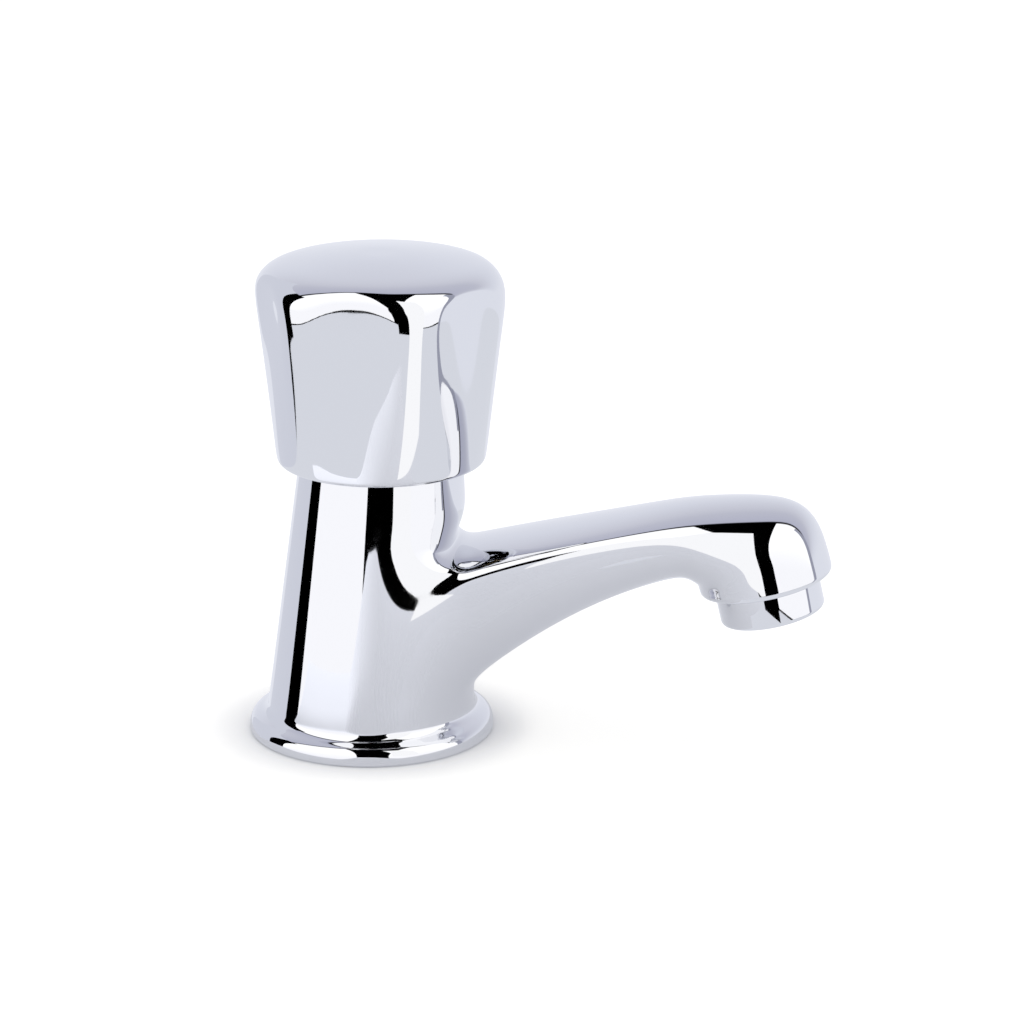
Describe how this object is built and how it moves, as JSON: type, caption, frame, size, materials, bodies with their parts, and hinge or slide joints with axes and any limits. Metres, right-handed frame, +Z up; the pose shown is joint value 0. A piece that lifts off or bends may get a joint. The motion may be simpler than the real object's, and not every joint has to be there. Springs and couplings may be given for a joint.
{
  "type": "basin tap",
  "caption": "Chromed pillar basin tap: leaning round column on a deck flange, short rising spout with a round head, and a fluted turning knob over a compression valve.",
  "frame": {"origin": "centre of the deck flange's underside, on the axis of the inlet tail", "axes": "+Z up, square to the deck; +X out along the spout; +Y to the left of the spout when looking along +X"},
  "size_m": [0.1233, 0.052, 0.1501],
  "materials": {
    "chrome": "polished chrome plate",
    "brass": "turned brass, unplated",
    "steel": "stainless steel",
    "rubber": "moulded rubber",
    "fibre": "pressed fibre",
    "nylon": "moulded nylon"
  },
  "bodies": {
    "fixed": {"tap_body": "chrome", "inlet_tail": "brass", "tail_seal": "fibre", "deck_gasket": "rubber", "tail_washer": "nylon", "backnut": "brass", "headwork_bonnet": "brass", "headwork_seal": "fibre", "thrust_washer": "nylon", "nozzle_collar": "chrome", "nozzle_seal": "rubber", "aerator_insert": "nylon", "aerator_screen_lower": "steel", "aerator_screen_upper": "steel"},
    "knob": {"knob_shell": "chrome", "knob_insert": "brass", "knob_grub_screw": "steel", "spindle": "brass", "spindle_ring_lower": "rubber", "spindle_ring_upper": "rubber", "spindle_circlip": "steel"},
    "carrier": {"valve_carrier": "brass", "tap_washer": "rubber", "washer_nut": "brass"}
  },
  "joints": [
    {"name": "knob_turn", "type": "hinge", "parent": "fixed", "child": "knob", "pos_m": [0.0027, 0, 0.0596], "axis": [0, 0, 1], "range_deg": [0, 900]},
    {"name": "carrier_lift", "type": "slide", "parent": "fixed", "child": "carrier", "axis": [0, 0, 1], "range_m": [0, 0.006]}
  ],
  "couplings": [
    {"joint": "carrier_lift", "follows": "knob_turn", "m_per_rad": 0.00038197}
  ]
}
